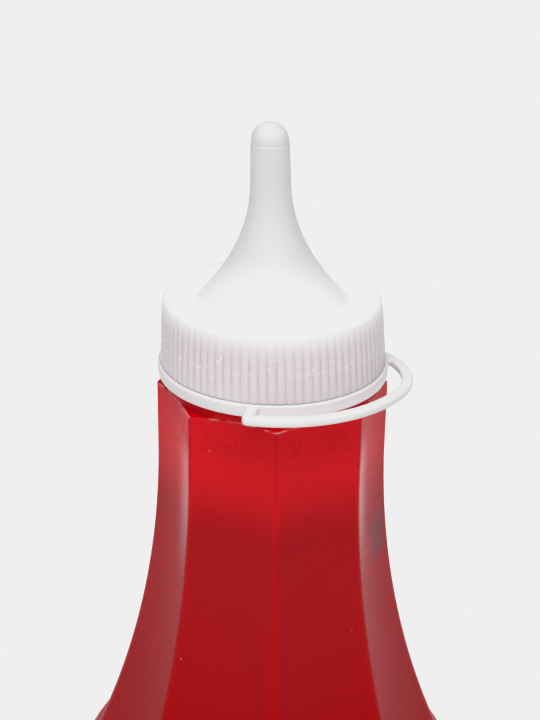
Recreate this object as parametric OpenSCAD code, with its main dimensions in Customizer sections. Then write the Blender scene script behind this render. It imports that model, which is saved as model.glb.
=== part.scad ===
// Squeeze bottle of ketchup with a nozzle cap, standing on its base.
// Millimetres. Origin at the middle of the base, +Z up; one ridge of the neck faces -Y.

/* [Bottle] */
// Height of the cap's seat above the table
seat_z = 178; // [150:1:220]
// Radius of the round body between its two bumpers
body_r = 37; // [30:0.5:45]
// How far the two bumpers stand out from the body
bumper_proud = 1.5; // [0.5:0.1:3]
// Rounding of the bumpers and of the heel
bumper_round = 9.7; // [6:0.1:12]
// Height of the middle of the upper bumper
bumper_z = 85.5; // [70:0.5:110]
// Height from there up to the foot of the eight-sided neck
bell_foot_rise = 5.5; // [5:0.1:8]
// Radius over the ridges where the neck runs straight
neck_ridge_r = 21.15; // [20.8:0.05:22]
// How much the ridges are eased off
ridge_ease = 0.3; // [0.1:0.05:0.8]
// Depth below the seat at which the neck starts to flare
flare_depth = 17; // [10:1:30]
// Depth below the seat of the ledge on top of the panels
ledge_depth = 4.9; // [4:0.1:8]
// Slope of that ledge, in degrees
ledge_slope = 14.5; // [8:0.5:25]
// Radius of the round collar the ring sits on
collar_r = 19.4; // [18.8:0.1:19.8]
// Wall thickness
wall = 0.9; // [0.6:0.1:1.6]
// Rise of the pushed-up middle of the base
push_up = 2.5; // [1:0.1:4]

/* [Ketchup] */
// Depth of the ketchup's surface below the seat
fill_depth = 21; // [8:1:60]

/* [Cap] */
// Height of the cap's rim above the seat
cap_h = 12.4; // [9:0.1:16]
// Radius of the skirt between the ribs, at its foot
skirt_r = 20.25; // [19.9:0.05:20.7]
// How much the skirt narrows up to the rim
skirt_draft = 0.8; // [0:0.1:1.5]
// Number of grip ribs
rib_count = 81; // [48:1:120]
// How far a rib stands out
rib_proud = 0.35; // [0.2:0.05:0.6]
// Radius of a rib's round back
rib_round = 0.45; // [0.3:0.05:0.7]
// Outer radius of the rim
rim_r = 19.6; // [19.2:0.05:20.6]
// Rounding of the rim's outer edge
rim_round = 1; // [0.4:0.1:1.4]
// Radius at which the rim drops into the moat
moat_r = 15.8; // [14.8:0.1:17]
// Depth of the moat
moat_depth = 1.5; // [0.5:0.1:1.8]
// Height of the nozzle's tip above the seat
nozzle_tip = 43.9; // [36:0.1:52]
// Radius of the domed tip
tip_r = 3.3; // [2.6:0.05:4]
// Height above the seat of the step under the dome
tip_step = 40.2; // [33:0.1:47]
// Radius of the nozzle tube where its flare starts
tube_r = 3.6; // [3:0.05:4.2]
// How much the tube narrows from there to the step
tube_draft = 0.2; // [0:0.05:0.4]
// Height above the seat at which the tube starts to flare
flare_top = 33.5; // [28:0.5:38]
// How far the flare spreads by the floor of the moat
flare_spread = 10.1; // [7:0.1:11]
// How sharply it spreads: 1 a cone, 2 a bowl
flare_power = 2.05; // [1.4:0.05:3]
// Thickness of the cap's moulded walls
cap_wall = 1.2; // [0.8:0.1:1.5]
// Clearance between the cap or the ring and the neck
fit_gap = 0.1; // [0.05:0.05:0.3]

/* [Ring and strap] */
// Outer radius of the ring
ring_r = 21; // [20.8:0.1:22]
// Height of the ring
ring_h = 2.4; // [1.8:0.1:3]
// Radial width of the strap
strap_w = 2.1; // [1.6:0.1:3]
// Height of the strap
strap_h = 1.55; // [1:0.05:1.8]
// Widest gap between the ring and the strap
strap_gap = 3.75; // [2.5:0.05:6]
// Where the tab joins the ring, in degrees round from -Y
tab_turn = -11.5; // [-30:0.1:0]
// Where the strap starts to curve back to the ring, in degrees round from -Y
bend_turn = 56.2; // [40:0.1:80]
// How far the long curve is centred off the bottle's middle
strap_offset = 1.3; // [0.5:0.1:2]
// Inner radius of the curve back to the ring
bend_r = 12.5; // [11:0.05:16]

/* [Hidden] */
$fn = 96;
arc_fn = 128;                                 // for the long flat arcs
sides = 8;
half_side = 180 / sides;
overlap = 0.01;                               // depth at which two shapes fuse
margin = 8;                                   // how far a cutting shape runs past what it cuts

bumper_r = body_r + bumper_proud;
bumper_c = bumper_r - bumper_round;           // middle of the bumper's round section
bell_foot_z = bumper_z + bell_foot_rise;
bell_foot_r = bumper_c + sqrt(pow(bumper_round, 2) - pow(bell_foot_rise, 2));
bell_sink = 1.5;                              // depth to which the bell ends inside the bumper
bell_cut_z = bell_foot_z - bell_sink;
flare_z = seat_z - flare_depth;
flare_drop = flare_z - bell_foot_z;
ledge_z = seat_z - ledge_depth;
ledge_top_z = ledge_z + (neck_ridge_r - collar_r) * tan(ledge_slope);

// flat-to-flat half width of an eight-sided section whose eased ridges reach radius r
function panel_at(r) = (r + ridge_ease) * cos(half_side);
// radius of an arc that starts parallel to `along` and has moved `out` sideways after it
function arc_of(out, along) = (pow(out, 2) + pow(along, 2)) / (2 * out);

rest_w = 3;                                   // width of the flat ring that the bottle stands on
push_up_r = bumper_c - rest_w;
push_up_ball = arc_of(push_up, push_up_r);

moat_z = cap_h - moat_depth;
finish_top = moat_z - cap_wall;               // top of the neck, against the cap's underside
finish_r = collar_r - 1.4;                    // plain round neck inside the cap
mouth_r = finish_r - 1.6;
rim_h = 2.1;
rim_slope_h = 0.6;
skirt_top = cap_h - rim_h;
rib_lean = atan(skirt_draft / skirt_top);
moat_slope = 0.5;

flare_steps = 22;
// outer radius of the nozzle at height z above the seat
function nozzle_at(z) =
    z > flare_top
    ? tube_r - tube_draft * (z - flare_top) / (tip_step - flare_top)
    : tube_r + flare_spread * pow((flare_top - z) / (flare_top - moat_z), flare_power);
flare_heights = [for (i = [0 : flare_steps]) moat_z + (flare_top - moat_z) * i / flare_steps];
tip_c = nozzle_tip - tip_r;

ring_lip = 0.25;                              // eased edges of the ring
ring_taper = 0.1;
strap_ease = 0.4;                             // rounding of the strap's edges
strap_mid = ring_r + strap_gap + strap_w / 2;  // furthest reach of the strap's middle line
curve_r = strap_mid - strap_offset;           // the strap's long curve, at its middle
bend_mid_r = bend_r + strap_w / 2;
bend_offset = strap_mid - bend_mid_r;
ring_bore_r = collar_r + fit_gap;
root_r = ring_bore_r + strap_w / 2;           // the strap's roots end inside the ring

// turns round each curve's own middle, counted from the bend
tab_from_bend = tab_turn - bend_turn;
corner_r = strap_offset * cos(tab_from_bend)
    + sqrt(pow(curve_r, 2) - pow(strap_offset * sin(tab_from_bend), 2));
corner = [corner_r * cos(tab_from_bend), corner_r * sin(tab_from_bend)];
curve_start = atan2(corner[1], corner[0] - strap_offset);
bend_stop = acos((pow(root_r, 2) - pow(bend_mid_r, 2) - pow(bend_offset, 2))
                 / (2 * bend_mid_r * bend_offset));

// The neck's outline, from the ledge down to inside the bumper, half width `top` opening to `foot`
module bell_outline(top, foot, inset) {
    reach = foot + margin;
    arc = arc_of(foot - top, flare_drop);
    difference() {
        translate([-reach, bell_cut_z]) square([2 * reach, ledge_top_z - inset - bell_cut_z]);
        for (side = [0, 1]) mirror([side, 0]) {
            translate([top + arc, flare_z]) circle(r = arc + inset, $fn = arc_fn);
            translate([top - inset, flare_z]) square([reach, flare_depth]);
        }
    }
}

// Two opposite panels of the neck, a prism as deep as the neck is wide
module panel_pair(turn, inset) {
    foot = panel_at(bell_foot_r);
    rotate([0, 0, half_side + turn * 2 * half_side]) rotate([90, 0, 0])
        linear_extrude(height = 2 * (foot + margin), center = true)
            bell_outline(panel_at(neck_ridge_r), foot, inset);
}

// Neck: eight panels, eased at the ridges, under a sloping ledge
module bell(inset) {
    intersection() {
        panel_pair(0, inset);
        panel_pair(1, inset);
        panel_pair(2, inset);
        panel_pair(3, inset);
        rotate_extrude() intersection() {
            bell_outline(neck_ridge_r, bell_foot_r, inset);
            polygon([[0, bell_cut_z], [bumper_r + margin, bell_cut_z],
                     [bumper_r + margin, ledge_z - inset], [neck_ridge_r, ledge_z - inset],
                     [collar_r, ledge_top_z - inset], [0, ledge_top_z - inset]]);
        }
    }
}

// Round body between its two bumpers, on a pushed-up base
module body(inset) {
    difference() {
        rotate_extrude() {
            for (z = [bumper_round, bumper_z])
                translate([bumper_c, z]) circle(r = bumper_round - inset);
            translate([0, inset]) square([bumper_c, bumper_z + bumper_round - 2 * inset]);
            translate([0, bumper_round]) square([body_r - inset, bumper_z - bumper_round]);
        }
        translate([0, 0, push_up - push_up_ball]) sphere(r = push_up_ball + inset, $fn = arc_fn);
    }
}

// Everything inside the bottle's outer face moved in by `inset`, below the collar
module vessel(inset) {
    bell(inset);
    body(inset);
}

// Blown red squeeze bottle, with the plain neck that carries the cap
module bottle() {
    color("#b8161c") difference() {
        union() {
            vessel(0);
            translate([0, 0, ledge_z]) {
                cylinder(h = ledge_depth, r = collar_r);
                cylinder(h = ledge_depth + finish_top, r = finish_r);
            }
        }
        vessel(wall);
        translate([0, 0, flare_z]) cylinder(h = flare_depth + finish_top + margin, r = mouth_r);
    }
}

// Ketchup, up to its level in the neck
module ketchup() {
    color("#9c150e") intersection() {
        vessel(wall);
        cylinder(h = seat_z - fill_depth, r = bumper_r);
    }
}

// Outline of the cap without its nozzle: skirt, rounded rim and the moat inside it
module cap_outline() {
    polygon([[0, 0], [skirt_r, 0], [skirt_r - skirt_draft, skirt_top],
             [rim_r, skirt_top + rim_slope_h], [rim_r, cap_h - rim_round],
             [rim_r - rim_round, cap_h - rim_round], [rim_r - rim_round, cap_h],
             [moat_r, cap_h], [moat_r - moat_slope, moat_z], [0, moat_z]]);
    translate([rim_r - rim_round, cap_h - rim_round]) intersection() {
        circle(r = rim_round);
        translate([0, -overlap]) square(2 * rim_round);
    }
}

// Half outline of the nozzle moved in by `inset`, from height `foot` up to the step under its tip
module nozzle_outline(inset, foot) {
    polygon(concat([[0, foot], [nozzle_at(moat_z) - inset, foot]],
                   [for (z = flare_heights) [nozzle_at(z) - inset, z]],
                   [[nozzle_at(tip_step) - inset, tip_step], [0, tip_step]]));
}

// Screw cap: ribbed skirt, rounded rim, shallow moat and trumpet nozzle, one moulding
module cap() {
    color("#f4f2ef") translate([0, 0, seat_z]) difference() {
        union() {
            rotate_extrude() cap_outline();
            for (i = [0 : rib_count - 1])
                rotate([0, 0, i * 360 / rib_count])
                    translate([skirt_r + rib_proud - rib_round, 0, 0]) rotate([0, -rib_lean, 0])
                        cylinder(h = skirt_top + rim_slope_h / 2, r = rib_round);
            rotate_extrude() nozzle_outline(0, moat_z - overlap);
            translate([0, 0, tip_step - overlap]) cylinder(h = tip_c - tip_step + overlap, r = tip_r);
            translate([0, 0, tip_c]) sphere(r = tip_r);
        }
        // room for the neck, and a flat foot under the leaning ribs
        translate([0, 0, -margin]) {
            cylinder(h = margin + finish_top, r = finish_r + fit_gap);
            cylinder(h = margin, r = skirt_r + margin);
        }
        rotate_extrude() nozzle_outline(cap_wall, finish_top - overlap);
    }
}

// Section of the strap, `w` wide, its top flush with the ring's and its edges rounded
module strap_section(w = strap_w) {
    for (x = [-1, 1], z = [-strap_ease, strap_ease - strap_h])
        translate([x * (w / 2 - strap_ease), z]) circle(r = strap_ease, $fn = 32);
    translate([strap_ease - w / 2, -strap_h]) square([w - 2 * strap_ease, strap_h]);
    translate([-w / 2, strap_ease - strap_h]) square([w, strap_h - 2 * strap_ease]);
}

// A curved length of strap whose middle line has radius r round a point `off` from the axis
module strap_curve(off, r, from, to) {
    translate([off, 0, 0]) rotate([0, 0, from])
        rotate_extrude(angle = to - from) translate([r, 0]) strap_section();
}

// Strap, drawn with its bend on +X: tab, rounded corner, long curve and the bend back to the ring
module strap() {
    strap_curve(strap_offset, curve_r, curve_start, 0);
    strap_curve(bend_offset, bend_mid_r, 0, bend_stop);
    rotate([0, 0, tab_from_bend]) {
        translate([root_r, 0, 0]) rotate([90, 0, 90])
            linear_extrude(height = corner_r - root_r) strap_section();
        translate([corner_r, 0, 0]) rotate_extrude() intersection() {
            strap_section(strap_w - 2 * overlap);
            translate([0, -2 * strap_h]) square(4 * strap_h);
        }
    }
}

// Ring left on the neck under the cap, with the strap moulded on it
module ring() {
    color("#f1efed") translate([0, 0, seat_z]) {
        rotate_extrude() polygon([[ring_bore_r, -ring_h], [ring_r - ring_taper - ring_lip, -ring_h],
                                  [ring_r - ring_taper, ring_lip - ring_h],
                                  [ring_r, -ring_lip], [ring_r - ring_lip, 0], [ring_bore_r, 0]]);
        rotate([0, 0, bend_turn - 90]) strap();
    }
}

bottle();
ketchup();
cap();
ring();
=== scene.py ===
from math import acos, atan2, cos, pi, radians, sin, sqrt, tan

import bmesh
import bpy
import numpy as np
from mathutils import Matrix, Vector


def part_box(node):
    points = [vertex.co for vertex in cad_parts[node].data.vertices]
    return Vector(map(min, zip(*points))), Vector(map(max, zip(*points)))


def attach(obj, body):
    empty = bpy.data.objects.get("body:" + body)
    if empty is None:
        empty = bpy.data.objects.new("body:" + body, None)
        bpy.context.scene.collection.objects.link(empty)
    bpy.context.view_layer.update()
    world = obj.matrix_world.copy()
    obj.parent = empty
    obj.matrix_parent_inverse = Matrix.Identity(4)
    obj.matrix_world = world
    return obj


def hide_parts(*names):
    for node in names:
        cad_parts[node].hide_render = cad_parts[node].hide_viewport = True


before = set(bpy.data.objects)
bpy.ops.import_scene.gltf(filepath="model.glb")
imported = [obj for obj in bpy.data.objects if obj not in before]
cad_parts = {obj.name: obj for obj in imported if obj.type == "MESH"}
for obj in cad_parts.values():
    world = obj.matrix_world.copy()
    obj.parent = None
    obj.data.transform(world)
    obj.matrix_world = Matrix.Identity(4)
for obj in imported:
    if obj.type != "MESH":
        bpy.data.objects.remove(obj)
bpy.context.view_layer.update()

# ---------------------------------------------------------------------------
# Viewpoint: a camera a little above the cap, close in on the cap and the neck,
# with the front ridge just right of the middle. Its film rolls whites off.
# ---------------------------------------------------------------------------
MM = 0.001
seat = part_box("ring")[1].z / MM               # height of the cap's seat, the top of the ring
look_at = Vector((0, 0, seat)) * MM
view_distance = 273 * MM
view_turn, view_rise, view_roll = radians(-2.15), radians(23.74), radians(0.9)
lens_length, film_width = 74.9, 36
picture_height = 720
shift_across, shift_up = -3.06 / picture_height, -3.0 / picture_height
camera_data = bpy.data.cameras.new("camera")
camera_data.sensor_width, camera_data.lens = film_width, lens_length
camera_data.shift_x, camera_data.shift_y = shift_across, shift_up
camera_data.clip_start = 10 * MM
camera = bpy.data.objects.new("camera", camera_data)
bpy.context.scene.collection.objects.link(camera)
out = Vector((sin(view_turn) * cos(view_rise), -cos(view_turn) * cos(view_rise), sin(view_rise)))
camera.location = look_at + out * view_distance
aim = (-out).to_track_quat("-Z", "Y").to_matrix().to_4x4()
camera.matrix_world = Matrix.Translation(camera.location) @ aim @ Matrix.Rotation(view_roll, 4, "Z")
bpy.context.scene.camera = camera
view = bpy.context.scene.view_settings
view.view_transform = "Standard"
# the film's shoulder: whites roll off to a pale grey
film_white = 0.863
film_tones = ((0.35, 0.35), (0.70, 0.70), (0.82, 0.80), (0.92, 0.852))
view.use_curve_mapping = True
shoulder = view.curve_mapping
shoulder.extend = "HORIZONTAL"
tones = shoulder.curves[3].points
tones[-1].location = (1.0, film_white)
for light_in, light_out in film_tones:
    tones.new(light_in, light_out).handle_type = "AUTO_CLAMPED"
for straight in tones[:2]:
    straight.handle_type = "VECTOR"
shoulder.update()


# ---------------------------------------------------------------------------
# Bottle: thin red polyethylene, blown in a two-part mould. Eight slightly sunken
# panels flare down the neck to a round body with a bumper at each end, and the
# ketchup's level shows through the wall.
# ---------------------------------------------------------------------------
wall = 0.9
ridge_top_r = 21.15                           # over the ridges, where the neck runs straight
ridge_round_top, ridge_round_foot = 1.3, 3.4  # rounding of the ridges, at the ledge and at the foot
panel_sink = 0.38                             # how far a panel's middle sinks in
flare_depth, ledge_depth, ledge_slope = 17, 4.9, radians(14.5)
lip = 0.22                                    # rounding of the panels' top edge
collar_r, finish_r, mouth_r = 19.4, 18.0, 16.4
finish_top = 9.7                              # top of the neck above the seat
bumper_round, bumper_z, bumper_proud = 9.7, 85.5, 1.5
bell_foot_rise, bell_fillet = 5.5, 0.7
push_up, rest_w = 2.5, 3                      # the base's pushed-up middle and its resting ring
fill_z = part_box("ketchup")[1].z / MM
bumper_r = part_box("bottle")[1].x / MM
bumper_c = bumper_r - bumper_round
body_r = bumper_r - bumper_proud
flare_z, ledge_z = seat - flare_depth, seat - ledge_depth
bell_foot_z = bumper_z + bell_foot_rise
bell_foot_r = bumper_c + sqrt(bumper_round**2 - bell_foot_rise**2)
half_side = pi / 8


def spread_by_arc(z, top, foot):
    """Straight from above, then one arc that opens from `top` to `foot` at the foot of the neck."""
    drop = flare_z - bell_foot_z
    arc = ((foot - top) ** 2 + drop**2) / (2 * (foot - top))
    down = np.clip(flare_z - z, 0, arc * 0.99)
    return top + arc - np.sqrt(arc**2 - down**2)


def neck_radius(turn, z):
    """Radius of the eight-sided neck, its ridges rounded and its panels sunk a little."""
    ridge = spread_by_arc(z, ridge_top_r, bell_foot_r)
    down = np.clip((flare_z - z) / (flare_z - bell_foot_z), 0, 1)
    ridge_round = ridge_round_top + (ridge_round_foot - ridge_round_top) * down
    sharp = ridge + ridge_round * (1 / cos(half_side) - 1)
    flat = sharp * cos(half_side)
    from_middle = np.abs((turn % (2 * half_side)) - half_side)
    across = flat * np.tan(from_middle)
    edge = (flat - ridge_round) * tan(half_side)
    sunk = panel_sink * np.clip(1 - (across / edge) ** 2, 0, 1)
    panel = (flat - sunk) / np.cos(from_middle)
    centre = (flat - ridge_round) / cos(half_side)
    off_ridge = half_side - from_middle
    rounded = centre * np.cos(off_ridge) + np.sqrt(ridge_round**2 - (centre * np.sin(off_ridge)) ** 2)
    return np.where(across < edge, panel, rounded)


def body_radius(z):
    """Radius of the round body between its bumpers."""
    r = np.full_like(z, body_r)
    for middle in (bumper_round, bumper_z):
        rise = np.clip(np.abs(z - middle), 0, bumper_round)
        round_r = bumper_c + np.sqrt(bumper_round**2 - rise**2)
        above = z > middle
        past_waist = (middle == bumper_z) & above | (middle == bumper_round) & ~above
        r = np.where(past_waist, round_r, np.maximum(r, round_r))
    return r


def outer_radius(turn, z):
    """Neck and body run together with a small fillet where the panels meet the bumper."""
    body = np.where(z < bumper_z + bumper_round, body_radius(z), 0)
    neck = np.where(z > bumper_z, neck_radius(turn, np.maximum(z, bell_foot_z)), 0)
    return 0.5 * (body + neck + np.sqrt((body - neck) ** 2 + bell_fillet**2))


def ring_of_turns():
    """Turns round the bottle, closer together on the rounded ridges. A ridge faces -Y."""
    half = [0, 0.7, 1.4, 2.1, 2.8, 3.5, 4.3, 5.4, 7.5, 10, 13, 16, 19.5, 22.5]
    side = half + [45 - t for t in half[-2:0:-1]]
    return np.radians(np.array([k * 45 + t for k in range(8) for t in side]))


def skin(name, rows, closed_ends=True):
    """A mesh of quads through rows of points in millimetres, each row one way round the axis."""
    n = len(rows[0])
    ends = []
    if closed_ends:
        ends = [rows[0].mean(0, keepdims=True), rows[-1].mean(0, keepdims=True)]
    cloud = np.concatenate(rows + ends) * MM
    here = np.arange(n)
    there = (here + 1) % n
    faces = []
    for k in range(len(rows) - 1):
        a, b = k * n, (k + 1) * n
        faces += np.stack([a + here, a + there, b + there, b + here], 1).tolist()
    if closed_ends:
        first, last = len(rows) * n, len(rows) * n + 1
        top = (len(rows) - 1) * n
        faces += np.stack([there, here, np.full(n, first)], 1).tolist()
        faces += np.stack([top + here, top + there, np.full(n, last)], 1).tolist()
    mesh = bpy.data.meshes.new(name)
    mesh.from_pydata(cloud.tolist(), [], faces)
    solid = bmesh.new()
    solid.from_mesh(mesh)
    bmesh.ops.recalc_face_normals(solid, faces=solid.faces)
    solid.to_mesh(mesh)
    solid.free()
    mesh.shade_smooth()
    piece = bpy.data.objects.new(name, mesh)
    bpy.context.scene.collection.objects.link(piece)
    return piece


def round_row(turns, radius, z, middle=(0, 0)):
    """One row of points round a middle; turn 0 faces -Y and turns go towards +X."""
    radius = np.broadcast_to(radius, turns.shape)
    z = np.broadcast_to(z, turns.shape)
    return np.stack([middle[0] + radius * np.sin(turns), middle[1] - radius * np.cos(turns), z], 1)


turns = ring_of_turns()


def bottle_row(radius, z):
    """One row round the bottle, at one radius and height or at one for each turn."""
    return round_row(turns, radius, z)


def base_height(radius, lift=0.0):
    """Height of the pushed-up base at a radius."""
    edge = bumper_c - rest_w
    ball = (push_up**2 + edge**2) / (2 * push_up)
    return np.where(radius < edge, push_up - ball + np.sqrt(ball**2 - radius**2) + lift, lift)


def bottle_rows(inset):
    """Rows from the middle of the base up to the ledge, moved in by `inset`."""
    base_radii = (0.4, 4, 8, 12, 16, 19, 21, 22, 22.6, 23.2)
    rows = [bottle_row(r, base_height(np.array(r), inset)) for r in base_radii]
    heel = bumper_round - inset
    for a in np.radians(np.linspace(0, 90, 14)):
        rows.append(bottle_row(bumper_c + heel * sin(a), bumper_round - heel * cos(a)))
    # closer rows where the outline turns: at the bumpers' edges and at the foot of the neck
    waist = sqrt(bumper_round**2 - (bumper_round - bumper_proud) ** 2)
    heights = np.concatenate([
        bumper_round + waist * np.linspace(0.08, 1.3, 12),
        np.linspace(bumper_round + 12, bumper_z - 12, 10),
        bumper_z - waist * np.linspace(1.3, 0.08, 12),
        bumper_z + np.linspace(0.3, bell_foot_rise - 1.2, 7),
        bell_foot_z + np.linspace(-0.9, 5.5, 27),
        np.linspace(bell_foot_z + 6.5, flare_z, 34),
        np.linspace(flare_z + 1.5, ledge_z - 2.2, 8)])
    for z in heights:
        rows.append(bottle_row(outer_radius(turns, np.full_like(turns, z)) - inset, z))
    return rows


slope = tan(ledge_slope)
panel_r = neck_radius(turns, np.full_like(turns, ledge_z))
lip_z = ledge_z + (ridge_top_r - panel_r) * slope         # where each panel meets the ledge
outer = bottle_rows(0)
for down in (1.6, 1.0, 0.6, 0.4, lip):
    outer.append(bottle_row(panel_r, lip_z - down))
for a in np.radians([15, 30, 45, 60, 75]):
    outer.append(bottle_row(panel_r - lip + lip * cos(a), lip_z - lip + lip * sin(a)))
for inward in (0.45, 0.8):
    ledge_r = np.maximum(panel_r - inward, collar_r + 0.1)
    outer.append(bottle_row(ledge_r, lip_z - 0.06 + (inward - lip) * slope))
collar_foot = ledge_z + (ridge_top_r - collar_r) * slope
mouth_top = seat + finish_top - 0.1
outer += [bottle_row(collar_r + 0.05, collar_foot), bottle_row(collar_r, collar_foot + 0.1)]
outer += [bottle_row(collar_r, z) for z in (seat - 3, seat - 1.2, seat - 0.2)]
outer += [bottle_row(finish_r, z) for z in (seat - 0.15, seat + 5, mouth_top)]
inner = bottle_rows(wall)
inner += [bottle_row(panel_r - wall, ledge_z - 1.2)]
inner += [bottle_row(mouth_r, z) for z in (ledge_z - 0.9, seat, mouth_top)]
bottle = skin("bottle_skin", outer + inner[::-1])

# how far each point lies from its nearest ridge and from the top edge of its panel, in millimetres
spots = np.zeros(len(bottle.data.vertices) * 3)
bottle.data.vertices.foreach_get("co", spots)
spot_x, spot_y, spot_z = spots.reshape(-1, 3).T / MM
spot_r, spot_turn = np.hypot(spot_x, spot_y), np.arctan2(spot_x, -spot_y)
off_ridge = half_side - np.abs((spot_turn % (2 * half_side)) - half_side)
below_neck = np.clip(bell_foot_z + 4 - spot_z, 0, None)   # the ridges end at the foot of the neck
from_ridge = spot_r * np.sin(off_ridge) + 0.6 * below_neck
row_turns = (turns + pi) % (2 * pi) - pi
order = np.argsort(row_turns)
spot_panel = np.interp(spot_turn, row_turns[order], panel_r[order])
spot_lip = np.interp(spot_turn, row_turns[order], lip_z[order])
from_lip = np.hypot(spot_r - spot_panel, spot_z - spot_lip)
on_ledge = (spot_z > spot_lip - 0.05) & (from_lip > 0.3)


def mark_points(piece, name, values):
    """Keeps one number per point of a piece, for its material to read."""
    mark = piece.data.attributes.new(name, "FLOAT", "POINT")
    mark.data.foreach_set("value", values.astype(np.float32))


mark_points(bottle, "from_ridge", from_ridge)
mark_points(bottle, "from_lip", from_lip)
mark_points(bottle, "on_ledge", on_ledge)


class Value:
    """A number that varies over a surface. Sums and products of these add Math nodes."""

    def __init__(self, finish, socket):
        self.finish, self.socket = finish, socket

    def worked(self, operation, *numbers):
        return self.finish.node("ShaderNodeMath", dict(enumerate(numbers)), operation=operation)

    def __add__(self, other):
        return self.worked("ADD", self, other)

    def __sub__(self, other):
        return self.worked("SUBTRACT", self, other)

    def __rsub__(self, other):
        return self.worked("SUBTRACT", other, self)

    def __mul__(self, other):
        return self.worked("MULTIPLY", self, other)

    def __truediv__(self, other):
        return self.worked("DIVIDE", self, other)

    def __pow__(self, other):
        return self.worked("POWER", self, other)

    def __abs__(self):
        return self.worked("ABSOLUTE", self)

    __radd__, __rmul__ = __add__, __mul__


class Finish:
    """One material. Constants go on the shader's own sockets, and node() adds any other node."""

    def __init__(self, name, tree=None, **constants):
        if tree:
            self.tree = tree
            return
        self.material = bpy.data.materials.new(name)
        self.material.use_nodes = True
        self.tree = self.material.node_tree
        self.shader = self.tree.nodes["Principled BSDF"]
        for socket, value in constants.items():
            self.shader.inputs[socket.replace("_", " ")].default_value = value

    def node(self, kind, values=(), output=0, **settings):
        """A node of any kind: its settings first, then the values or links of its sockets."""
        made = self.tree.nodes.new(kind)
        for setting, value in settings.items():
            setattr(made, setting, value)
        for socket, value in dict(values).items():
            if isinstance(value, Value):
                self.tree.links.new(value.socket, made.inputs[socket])
            else:
                made.inputs[socket].default_value = value
        return Value(self, made.outputs[output])

    def place(self):
        return self.node("ShaderNodeTexCoord", output="Object")

    def along(self, axis):
        return self.node("ShaderNodeSeparateXYZ", {0: self.place()}, output=axis)

    def off_axis(self):
        """Distance from the bottle's axis, in millimetres."""
        level = self.node("ShaderNodeVectorMath", {0: self.place(), 1: (1, 1, 0)}, operation="MULTIPLY")
        return self.node("ShaderNodeVectorMath", {0: level}, output="Value", operation="LENGTH") / MM

    def noise(self, size, detail=2.0):
        """Soft noise from 0 to 1 whose lumps are about `size` millimetres across."""
        values = {"Vector": self.place(), "Scale": 1 / (size * MM), "Detail": detail}
        return self.node("ShaderNodeTexNoise", values)

    def cells(self, size):
        """Distance from scattered spots about `size` millimetres apart."""
        values = {"Vector": self.place(), "Scale": 1 / (size * MM)}
        return self.node("ShaderNodeTexVoronoi", values, output="Distance")

    def ease(self, value, start, stop):
        """0 before start, 1 after stop, smooth between; start may be the larger."""
        values = {"Value": value, "From Min": start, "From Max": stop}
        return self.node("ShaderNodeMapRange", values, interpolation_type="SMOOTHSTEP")

    def attribute(self, name):
        return self.node("ShaderNodeAttribute", output="Fac", attribute_name=name)

    def most(self, first, second):
        return self.node("ShaderNodeMath", {0: first, 1: second}, operation="MAXIMUM")

    def mix(self, share, first, second):
        values = {0: share, 6: first, 7: second}
        return self.node("ShaderNodeMix", values, output=2, data_type="RGBA")

    def bump(self, height, depth, under=None):
        """Relief whose full height is `depth` millimetres."""
        values = {"Height": height, "Distance": depth * MM, "Strength": 1.0}
        if under:
            values["Normal"] = under
        return self.node("ShaderNodeBump", values)

    def wear(self, **links):
        """Links what varies to the shader and hands over the material."""
        for socket, value in links.items():
            self.tree.links.new(value.socket, self.shader.inputs[socket.replace("_", " ")])
        return self.material


def colour(r, g, b):
    return (r, g, b, 1.0)


red = Finish("red polyethylene", IOR=1.3, Specular_IOR_Level=0.04, Coat_IOR=1.5, Coat_Roughness=0.27,
             Sheen_Weight=0.27, Sheen_Roughness=0.35, Sheen_Tint=(1.0, 0.22, 0.28, 1.0))
height = red.along("Z") / MM
sideways = red.along("Y") / MM
ridge_gap, lip_gap = red.attribute("from_ridge"), red.attribute("from_lip")
near_ridge = red.ease(ridge_gap, 1.1, 0.1)
# the ketchup darkens the wall below its level, later beside the ridges, where the wall is thicker
wavy = red.noise(9.0, 1.0) * 2 - 1
film = height + near_ridge * 2.0 + wavy * 1.2
filled = red.ease(film, fill_z + 7, fill_z - 7)
deep = red.ease(height, fill_z - 10, fill_z - 62)
empty_red = red.mix(red.noise(14, 2), colour(0.506, 0.0067, 0.0115), colour(0.549, 0.00742, 0.0129))
full_red = red.mix(deep, colour(0.306, 0.0045, 0.0078), colour(0.258, 0.001, 0.0025))
# the ridges' wall is a narrow brighter line at the level, wider further down
on_ridge = red.ease(ridge_gap / (deep * 2.4 + 0.75), 1.0, 0.2)
ridge_red = red.mix(deep, colour(0.356, 0.003, 0.005), colour(0.287, 0.0002, 0.0005))
full_red = red.mix(on_ridge * 0.85, full_red, ridge_red)
body_red = red.mix(filled, empty_red, full_red)
dark_ridge = red.ease(ridge_gap, 0.5, 0.1) * (1 - filled)
body_red = red.mix(dark_ridge * 0.5, body_red, colour(0.37, 0.00443, 0.00863))
# a faint shaded line where the ridges' rounding runs into the panels
run_in = red.ease(abs(ridge_gap - 2.2), 0.45, 0.1) * deep
body_red = red.mix(run_in * 0.35, body_red, colour(0.20, 0.001, 0.004))
# dust and pale nicks
specks = red.ease(red.cells(4.3), 0.045, 0.025) * red.ease(red.noise(5, 0), 0.5, 0.56)
body_red = red.mix(specks * 0.45, body_red, colour(0.80, 0.30, 0.28))
# a batch mark, rubbed until only a grey smudge is left
smudge_z, smudge_y = seat - 34.5, -4.8        # just in front of the ridge that faces +X
smudge = red.ease(abs(height - smudge_z), 5.4, 3.2) * red.ease(abs(sideways - smudge_y), 4.2, 2.2)
smudge = smudge * red.ease(red.along("X") / MM, 0, 5) * red.ease(red.noise(1.9, 3), 0.36, 0.58)
body_red = red.mix(smudge * 0.82, body_red, colour(0.10, 0.04, 0.055))
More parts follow.
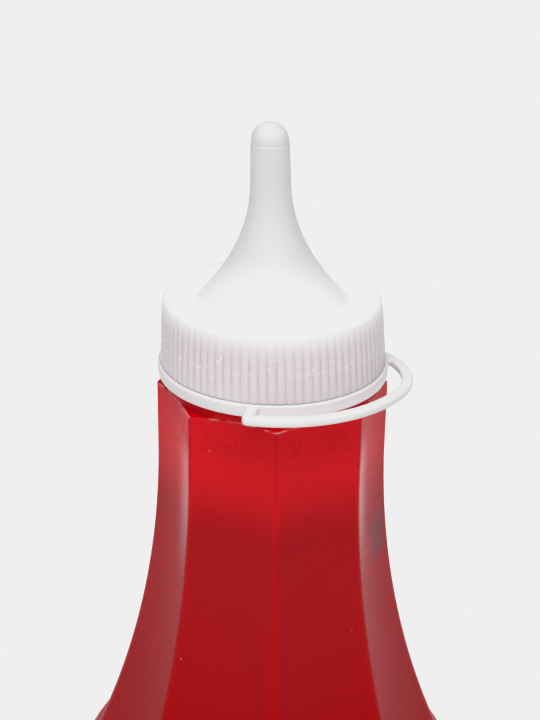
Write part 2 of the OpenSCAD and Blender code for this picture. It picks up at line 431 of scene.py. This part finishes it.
# painted light: the ledge and the collar are painted a brighter red, to offset the shade under the ring
body_red = red.mix(red.attribute("on_ledge"), body_red, colour(0.50, 0.0, 0.004))
# painted highlight: a thin broken pale line painted along the panels' top edges, where the coat also shines
top_edge = red.ease(lip_gap, 0.5, 0.2) * red.ease(red.noise(2.4, 2), 0.40, 0.54)
painted_edge_glint = red.ease(lip_gap, 0.26, 0.1) * top_edge
body_red = red.mix(painted_edge_glint * 0.6, body_red, colour(0.70, 0.22, 0.24))
# fine grain, a slightly wavy skin, and marks from the mould near the top of the panels
grain = red.noise(0.35, 2)
orange_peel = red.noise(2.6, 2)
marks_z = seat - 8.8
marked = red.ease(abs(height - marks_z), 2.6, 1.2) * red.ease(red.noise(5, 1), 0.44, 0.56)
marked = marked * red.ease(ridge_gap, 1.2, 2.6) * (red.ease(sideways, -11, -14) * 0.75 + 0.25)
scratched = red.ease(red.noise(0.55, 3), 0.50, 0.60) * marked
body_red = red.mix(scratched * 0.35, body_red, colour(0.25, 0.002, 0.008))
relief = red.bump(grain, 0.016)
relief = red.bump(orange_peel, 0.04, relief)
relief = red.bump(red.noise(0.9, 3) * marked, 0.22, relief)
# the skin shines where it is seen at a low angle, and along the panels' top edges
slant = red.node("ShaderNodeLayerWeight", {"Blend": 0.5}, output="Facing")
dusty = red.ease(height, 108, 146) * red.ease(height, seat - 8, seat - 22) * 0.35 + 0.65
# the ridges were rubbed by hands and other bottles in a band below the cap
rubbed = red.ease(ridge_gap, 7.5, 1.2) * red.ease(ridge_gap, 0.2, 1.3) * red.ease(abs(sideways), 6, 13)
rubbed = rubbed * red.ease(height, seat - 8, seat - 16) * red.ease(height, 137, 157)
rubbed = rubbed * (red.noise(0.7, 2) * 0.7 + 0.65)
sheen = (red.ease(slant, 0.55, 0.9) * 0.08 + 0.06) * dusty + red.ease(slant, 0.45, 0.7) * rubbed * 0.62
shine = red.most(sheen, top_edge * 0.8)
dull = red.noise(6, 3) * 0.10 + 0.30
red_skin = red.wear(Base_Color=body_red, Roughness=dull, Normal=relief, Coat_Weight=shine)
bottle.data.materials.append(red_skin)
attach(bottle, "root")
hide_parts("bottle")

# ---------------------------------------------------------------------------
# Ketchup: thick tomato sauce filling the bottle to its level in the neck. It
# is the solid from the frame, with a wet finish.
# ---------------------------------------------------------------------------
sauce = Finish("ketchup", IOR=1.38, Roughness=0.25)
pulp = sauce.noise(1.2, 4)
sauce_red = sauce.mix(pulp, colour(0.33, 0.016, 0.006), colour(0.46, 0.03, 0.010))
sauce_relief = sauce.bump(sauce.noise(0.9, 3), 0.08)
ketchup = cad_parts["ketchup"]
ketchup.data.materials.clear()
ketchup.data.materials.append(sauce.wear(Base_Color=sauce_red, Normal=sauce_relief))

# ---------------------------------------------------------------------------
# Cap: one moulding of soft white polyethylene, screwed onto the neck. Ribbed
# skirt, rounded rim, a shallow moat and a trumpet nozzle with a domed tip.
# ---------------------------------------------------------------------------
rib_count, rib_columns = 81, 8
rib_proud, rib_fade = 0.18, 3.2               # how far a rib stands out, and over what height it fades
cap_lean = 0.027                              # the cap sits a degree and a half off the bottle's axis
skirt_r, rim_r, rim_round, cap_h = 20.32, 19.62, 1.0, 12.4
rim_flat_r = 18.3
moat_r, moat_depth, moat_outer, moat_width = 15.8, 1.5, 1.7, 2.9
tube_r, tube_draft = 3.6, 0.2
flare_top, flare_spread, flare_power = 33.5, 10.6, 2.06
tip_step, tip_r, step_in = 40.2, 3.34, 0.03
tip_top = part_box("cap")[1].z / MM - seat
cap_wall, fit_gap = 1.2, 0.1
moat_z = cap_h - moat_depth


def nozzle_radius(z):
    """Radius of the nozzle at a height above the seat: a slim tube on a flare."""
    if z > flare_top:
        return tube_r - tube_draft * (z - flare_top) / (tip_step - flare_top)
    return tube_r + flare_spread * ((flare_top - z) / (flare_top - moat_z)) ** flare_power


def arc_points(r, z, size, start, stop, count):
    """Points of a round edge, as (radius, height), from one angle to another in degrees."""
    angles = np.radians(np.linspace(start, stop, count))
    return [(r + size * cos(a), z + size * sin(a)) for a in angles]


inner_room = finish_r + fit_gap
under_top = moat_z - cap_wall
# hidden inside: neck room and the bore of the nozzle, from the tip down to the skirt's foot
bore_top = tip_step - 0.3
inside = [(0.3, bore_top), (nozzle_radius(tip_step) - cap_wall, bore_top)]
inside += [(nozzle_radius(z) - cap_wall, z) for z in np.linspace(38, moat_z, 14)]
inside += [(nozzle_radius(moat_z) - cap_wall, under_top), (inner_room, under_top), (inner_room, 0.0)]
# skirt from its foot up to the rounding of the rim, its draft spread over the rows
skirt_top = cap_h - rim_round
skirt_heights = (0.0, 0.25, 0.6, 2, 3.5, 5, 6.5, 8, 9.2, 9.8, 10.2, 10.6, 11.0, 11.3)
skirt = [(skirt_r + (rim_r - skirt_r) * z / skirt_top, z) for z in skirt_heights]
skirt += arc_points(rim_r - rim_round, skirt_top, rim_round, 0, 60, 7)
rim = arc_points(rim_r - rim_round, skirt_top, rim_round, 70, 90, 3)
# the rim's flat top rolls gently down into the moat
rim += [(rim_flat_r, cap_h)]
for share in np.linspace(0, 1, 14):
    roll_r = moat_r + moat_outer - moat_width * share
    rim.append((roll_r, moat_z + moat_depth * (1 + cos(pi * share)) / 2))
flare_heights = moat_z + 0.06 + (flare_top - moat_z) * np.linspace(0, 1, 36) ** 1.25
tube_heights = (34.8, 36.2, 37.6, 38.8, 39.7, tip_step - 0.1)
nozzle = [(nozzle_radius(z), z) for z in (*flare_heights, *tube_heights)]
# a hairline step, where the dome's half of the mould began
nozzle += [(tip_r + step_in, tip_step - 0.03), (tip_r - step_in, tip_step + 0.02), (tip_r, tip_step + 0.12)]
nozzle += arc_points(0, tip_top - tip_r, tip_r, 0, 86, 11)
columns = rib_count * rib_columns
cap_turns = np.arange(columns) * 2 * pi / columns
rib_shape = np.sin(pi * (np.arange(columns) % rib_columns) / rib_columns) ** 0.9
cap_rows, rib_height = [], []
for section, ribbed_share in ((inside, 0), (skirt, 1), (rim, 0), (nozzle, 0)):
    for r, z in section:
        proud = rib_proud * np.clip((cap_h - 0.1 - z) / rib_fade, 0, 1) * ribbed_share
        cap_rows.append(round_row(cap_turns, r + proud * rib_shape, seat + z, (-cap_lean * z, 0)))
        rib_height.append(rib_shape * ribbed_share)
cap = skin("nozzle_cap", cap_rows)
mark_points(cap, "rib_height", np.concatenate(rib_height + [np.zeros(2)]))

white = Finish("white polyethylene", IOR=1.45, Roughness=0.42, Specular_IOR_Level=0.2,
               Subsurface_Weight=0.35, Subsurface_Radius=(1.0, 0.85, 0.8), Subsurface_Scale=1.6 * MM)
rise = white.along("Z") / MM - seat
# painted light and shade: the skirt is painted pink for the red neck's light showing through it, and darker
# in the valleys between the ribs as painted shade
ribbed = white.attribute("rib_height")
skirt_share = white.ease(rise, 13.0, 8.2) * white.ease(white.off_axis(), 18.0, 18.8)
painted_valley_shade = white.ease(ribbed, 0.75, 0.0) * white.ease(rise, 11, 6) * (white.ease(rise, 0.5, 4.0) * 0.7 + 0.3)
skirt_white = white.mix(painted_valley_shade, colour(0.63, 0.578, 0.595), colour(0.57, 0.47, 0.505))
# painted light and shade: the upward-facing rim and moat are painted a lighter white than the nozzle tube,
# though both are one plastic
painted_lit_top_white = white.mix(white.ease(rise, 22, 13), colour(0.605, 0.615, 0.61), colour(0.785, 0.785, 0.785))
cap_white = white.mix(skirt_share, painted_lit_top_white, skirt_white)
# hair-thin burrs and scuffs where the skirt was gripped
grip_z, parting_z = 5.6, 5.2
hair = white.ease(abs(white.noise(1.1, 1.0) - 0.5), 0.035, 0.01)
patchy = white.ease(white.noise(1.8, 0), 0.61, 0.68)
gripped = white.ease(abs(rise - grip_z), 4.2, 0.8)
scuffs = hair * patchy * gripped
cap_white = white.mix(scuffs * 0.75, cap_white, colour(0.86, 0.85, 0.85))
# a faint line round the skirt where two halves of the mould met
parting = white.ease(abs(rise - parting_z), 0.45, 0.1) * white.ease(white.noise(4, 1), 0.42, 0.55)
cap_white = white.mix(parting * 0.14, cap_white, colour(0.78, 0.76, 0.77))
white_relief = white.bump(white.noise(0.5, 2), 0.012)
white_relief = white.bump(scuffs, 0.06, white_relief)
cap.data.materials.append(white.wear(Base_Color=cap_white, Normal=white_relief))
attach(cap, "root")
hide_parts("cap")

# ---------------------------------------------------------------------------
# Ring and strap: one moulding of white polyethylene, snapped on the neck under
# the cap. The rounded strap leaves the ring at a short tab, runs round it with a
# gap and bends back into it.
# ---------------------------------------------------------------------------
ring_r, ring_h, ring_bore = 21.0, 2.4, collar_r + fit_gap
strap_w, strap_h, strap_ease = 2.1, 1.55, 0.5
strap_gap, strap_offset, bend_r = 3.75, 1.3, 12.5
bend_turn, tab_turn = radians(56.2), radians(-11.5)
strap_mid = ring_r + strap_gap + strap_w / 2
curve_r = strap_mid - strap_offset
bend_mid_r = bend_r + strap_w / 2
bend_offset = strap_mid - bend_mid_r
root_r = ring_bore + strap_w / 2
tab_from_bend = tab_turn - bend_turn
corner_r = strap_offset * cos(tab_from_bend) + sqrt(curve_r**2 - (strap_offset * sin(tab_from_bend)) ** 2)
corner = corner_r * np.array([cos(tab_from_bend), sin(tab_from_bend)])
curve_start = atan2(corner[1], corner[0] - strap_offset)
bend_stop = acos((root_r**2 - bend_mid_r**2 - bend_offset**2) / (2 * bend_mid_r * bend_offset))


def strap_section():
    """Outline of the strap with rounded corners: (outwards, up) points, its top at 0."""
    top, low, half = -strap_ease, strap_ease - strap_h, strap_w / 2 - strap_ease
    outline = []
    for x, z, start in ((half, top, 0), (-half, top, 90), (-half, low, 180), (half, low, 270)):
        outline += arc_points(x, z, strap_ease, start, start + 90, 5)
    return np.array(outline)


def turned(spots):
    """Points (x, y) laid out with the bend on +X, turned to where it really is."""
    spin = bend_turn - pi / 2
    return spots @ np.array([[cos(spin), sin(spin)], [-sin(spin), cos(spin)]])


def swept(name, path):
    """A bar of the strap's section along (x, y) points with the bend on +X."""
    path, section = np.array(path), strap_section()
    way = np.gradient(path, axis=0)
    way /= np.linalg.norm(way, axis=1, keepdims=True)
    outwards = np.stack([way[:, 1], -way[:, 0]], 1)
    rows = []
    for spot, side in zip(path, outwards):
        rows.append(np.column_stack([turned(spot + section[:, :1] * side), seat + section[:, 1]]))
    return skin(name, rows)


def round_points(off, r, start, stop, count):
    """Points (x, y) of an arc whose middle lies `off` along +X."""
    return [(off + r * cos(a), r * sin(a)) for a in np.linspace(start, stop, count)]


tab_way = corner / corner_r
tab_bar = swept("tab_bar", [tab_way * d for d in np.linspace(root_r, corner_r, 6)])
long_bar = swept("long_bar", round_points(strap_offset, curve_r, curve_start, 0, 60)
                 + round_points(bend_offset, bend_mid_r, 0, bend_stop, 40)[1:])
# the outer corner, where the tab turns into the strap
knob_columns, band_columns = 24, 240
knob_outline = sorted((z, r) for r, z in strap_section() if r >= 0)
knob_turns = np.linspace(0, 2 * pi, knob_columns, endpoint=False)
knob = skin("corner_knob", [round_row(knob_turns, r, seat + z, turned(corner)) for z, r in knob_outline])
# the ring itself, with a soft edge at its foot and its top
foot = -ring_h
band_outline = [(ring_bore, foot), (ring_r - 0.35, foot), (ring_r - 0.17, foot + 0.08),
                (ring_r - 0.08, foot + 0.3), (ring_r, -0.3), (ring_r - 0.06, -0.1),
                (ring_r - 0.22, 0.0), (ring_bore, 0.0), (ring_bore, foot)]
band_turns = np.linspace(0, 2 * pi, band_columns, endpoint=False)
band = skin("ring_strap", [round_row(band_turns, r, seat + z) for r, z in band_outline], closed_ends=False)
bars = [tab_bar, long_bar, knob]
with bpy.context.temp_override(active_object=band, selected_editable_objects=[band, *bars]):
    bpy.ops.object.join()
# ring and strap run into one moulding with softened corners
fuse_grain = 0.17 * MM
fuse = band.modifiers.new("fuse", "REMESH")
fuse.mode, fuse.voxel_size, fuse.use_smooth_shade = "VOXEL", fuse_grain, True
soften = band.modifiers.new("soften", "SMOOTH")
soften.factor, soften.iterations = 0.5, 5

band_white = Finish("white polyethylene ring", IOR=1.45, Roughness=0.40, Specular_IOR_Level=0.2,
                    Subsurface_Weight=0.3, Subsurface_Radius=(1.0, 0.85, 0.8), Subsurface_Scale=1.2 * MM)
painted_neck_glow = band_white.ease(band_white.off_axis(), 22.4, 21.0)   # painted light: the band is painted faintly pink for the red neck's light through it, while the strap stays white
band_colour = band_white.mix(painted_neck_glow, colour(0.65, 0.652, 0.65), colour(0.655, 0.635, 0.643))
band_relief = band_white.bump(band_white.noise(0.6, 2), 0.015)
band.data.materials.clear()
band.data.materials.append(band_white.wear(Base_Color=band_colour, Normal=band_relief))
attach(band, "root")
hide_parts("ring")

# ---------------------------------------------------------------------------
# Studio: a plain pale floor under a soft dome of light, brightest overhead and
# a little towards the front.
# ---------------------------------------------------------------------------
reach = 6.0
floor_corners = [(-reach, -reach, 0), (reach, -reach, 0), (reach, reach, 0), (-reach, reach, 0)]
floor_mesh = bpy.data.meshes.new("floor")
floor_mesh.from_pydata(floor_corners, [], [(0, 1, 2, 3)])
floor = bpy.data.objects.new("floor", floor_mesh)
bpy.context.scene.collection.objects.link(floor)
paper = Finish("pale floor", Roughness=0.9, Specular_IOR_Level=0.0)
pale = paper.mix(paper.noise(400, 1), colour(0.875, 0.875, 0.875), colour(0.885, 0.885, 0.885))
floor_mesh.materials.append(paper.wear(Base_Color=pale))

world = bpy.data.worlds.new("soft dome")
bpy.context.scene.world = world
world.use_nodes = True
dome = Finish("soft dome", tree=world.node_tree)
key_strength, fill_strength, all_round = 7.0, 0.75, 0.035
lobe_power = 9.0


def lobe(sideways, tilt):
    """A soft patch of light on the dome, tilted from overhead towards the back, in degrees."""
    middle = Vector((sideways, sin(radians(tilt)), cos(radians(tilt)))).normalized()
    way = dome.node("ShaderNodeTexCoord", output="Generated")
    ways = {0: way, 1: tuple(middle)}
    facing = dome.node("ShaderNodeVectorMath", ways, output="Value", operation="DOT_PRODUCT")
    return dome.most(facing, 0.0) ** lobe_power


key = lobe(-0.04, -29)                        # from above and a little in front
fill = lobe(0.05, 38)                         # keeps the back from going dull
# the camera sees the same plain pale white past the floor's edge
seen = dome.node("ShaderNodeLightPath", output="Is Camera Ray")
strength = (key * key_strength + fill * fill_strength + all_round) * (1 - seen) + seen
background = world.node_tree.nodes["Background"]
background.inputs["Color"].default_value = (1, 1, 1, 1)
dome.tree.links.new(strength.socket, background.inputs["Strength"])
